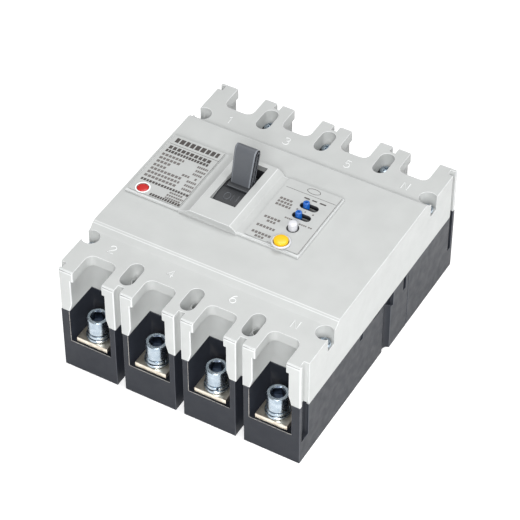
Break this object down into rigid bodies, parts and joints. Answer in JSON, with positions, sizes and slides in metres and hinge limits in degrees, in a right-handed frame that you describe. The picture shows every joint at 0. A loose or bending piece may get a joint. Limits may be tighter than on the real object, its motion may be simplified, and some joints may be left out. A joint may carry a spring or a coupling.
{
  "type": "molded case circuit breaker",
  "caption": "Low rectangular molded case circuit breaker: bolted terminals in recesses at both ends, a leaning toggle handle, and test, reset and selector controls.",
  "frame": {"origin": "middle of the flat mounting face at the bottom of the base", "axes": "+X across the poles toward the neutral pole, +Y toward the line side, +Z out of the mounting face toward the handle"},
  "size_m": [0.142, 0.165, 0.097],
  "materials": {
    "dark_case": "dark grey thermoset, fine matte",
    "light_case": "light grey moulded plastic, fine matte",
    "printed_label": "pale printed label",
    "grip_plastic": "dark grey handle plastic",
    "shutter_plastic": "near-black sliding shutter",
    "tinned_copper": "dull tinned copper bar",
    "zinc_steel": "bluish bright zinc plate",
    "frame_steel": "plain plated sheet steel",
    "copper": "bare copper",
    "core_iron": "dark core iron",
    "mechanism_plastic": "black moulded plastic",
    "coil_cover": "dark blue potting case",
    "board_laminate": "green circuit laminate",
    "red_plastic": "red button plastic",
    "yellow_plastic": "yellow button plastic",
    "white_plastic": "white button plastic",
    "blue_plastic": "blue selector plastic"
  },
  "bodies": {
    "housing": {"base": "dark_case", "cover": "light_case", "nameplate": "printed_label", "residual_current_plate": "printed_label", "load_terminal_1": "tinned_copper", "load_terminal_bolt_1": "zinc_steel", "load_terminal_2": "tinned_copper", "load_terminal_bolt_2": "zinc_steel", "load_terminal_3": "tinned_copper", "load_terminal_bolt_3": "zinc_steel", "load_terminal_4": "tinned_copper", "load_terminal_bolt_4": "zinc_steel", "line_terminal_1": "tinned_copper", "line_terminal_bolt_1": "zinc_steel", "line_terminal_2": "tinned_copper", "line_terminal_bolt_2": "zinc_steel", "line_terminal_3": "tinned_copper", "line_terminal_bolt_3": "zinc_steel", "line_terminal_4": "tinned_copper", "line_terminal_bolt_4": "zinc_steel", "slot_screw_1": "zinc_steel", "slot_screw_2": "zinc_steel", "slot_screw_3": "zinc_steel", "slot_screw_4": "zinc_steel", "slot_screw_5": "zinc_steel", "slot_screw_6": "zinc_steel", "corner_screw_1": "zinc_steel", "corner_screw_2": "zinc_steel", "corner_screw_3": "zinc_steel", "corner_screw_4": "zinc_steel", "mechanism_frame": "frame_steel", "arc_chute_1": "core_iron", "trip_unit_1": "core_iron", "arc_chute_2": "core_iron", "trip_unit_2": "core_iron", "arc_chute_3": "core_iron", "trip_unit_3": "core_iron", "arc_chute_4": "core_iron", "trip_unit_4": "core_iron", "summation_transformer": "coil_cover", "circuit_board": "board_laminate", "trip_solenoid": "coil_cover", "test_button_collar": "white_plastic"},
    "handle": {"handle": "grip_plastic", "handle_shutter": "shutter_plastic", "handle_yoke": "frame_steel"},
    "crossbar": {"crossbar": "mechanism_plastic", "moving_contact_1": "copper", "moving_contact_2": "copper", "moving_contact_3": "copper", "moving_contact_4": "copper"},
    "trip_bar": {"trip_bar": "mechanism_plastic"},
    "trip_button": {"trip_button": "red_plastic"},
    "test_button": {"test_button": "yellow_plastic"},
    "reset_button": {"reset_button": "white_plastic"},
    "selector_knob_1": {"selector_knob_1": "blue_plastic"},
    "selector_knob_2": {"selector_knob_2": "blue_plastic"}
  },
  "joints": [
    {"name": "handle_throw", "type": "hinge", "parent": "housing", "child": "handle", "pos_m": [-0.0175, 0.004, 0.035], "axis": [1, 0, 0], "range_deg": [0, 19]},
    {"name": "crossbar_turn", "type": "hinge", "parent": "housing", "child": "crossbar", "pos_m": [0, 0.008, 0.022], "axis": [1, 0, 0], "range_deg": [0, 28.5]},
    {"name": "trip_bar_turn", "type": "hinge", "parent": "housing", "child": "trip_bar", "pos_m": [0, -0.033, 0.046], "axis": [1, 0, 0], "range_deg": [0, 10], "stiffness_Nm_per_rad": 0.05, "springref_deg": -11.46},
    {"name": "trip_button_push", "type": "slide", "parent": "housing", "child": "trip_button", "axis": [0, 0, -1], "range_m": [0, 0.0015], "stiffness_N_per_m": 300, "springref_m": -0.002},
    {"name": "test_button_push", "type": "slide", "parent": "housing", "child": "test_button", "axis": [0, 0, -1], "range_m": [0, 0.0022], "stiffness_N_per_m": 300, "springref_m": -0.002},
    {"name": "reset_button_push", "type": "slide", "parent": "housing", "child": "reset_button", "axis": [0, 0, -1], "range_m": [0, 0.0035]},
    {"name": "selector_knob_1_slide", "type": "slide", "parent": "housing", "child": "selector_knob_1", "axis": [1, 0, 0], "range_m": [-0.0013, 0.0046]},
    {"name": "selector_knob_2_slide", "type": "slide", "parent": "housing", "child": "selector_knob_2", "axis": [1, 0, 0], "range_m": [-0.0013, 0.0046]}
  ],
  "couplings": [
    {"joint": "crossbar_turn", "follows": "handle_throw", "ratio": 1.5}
  ]
}
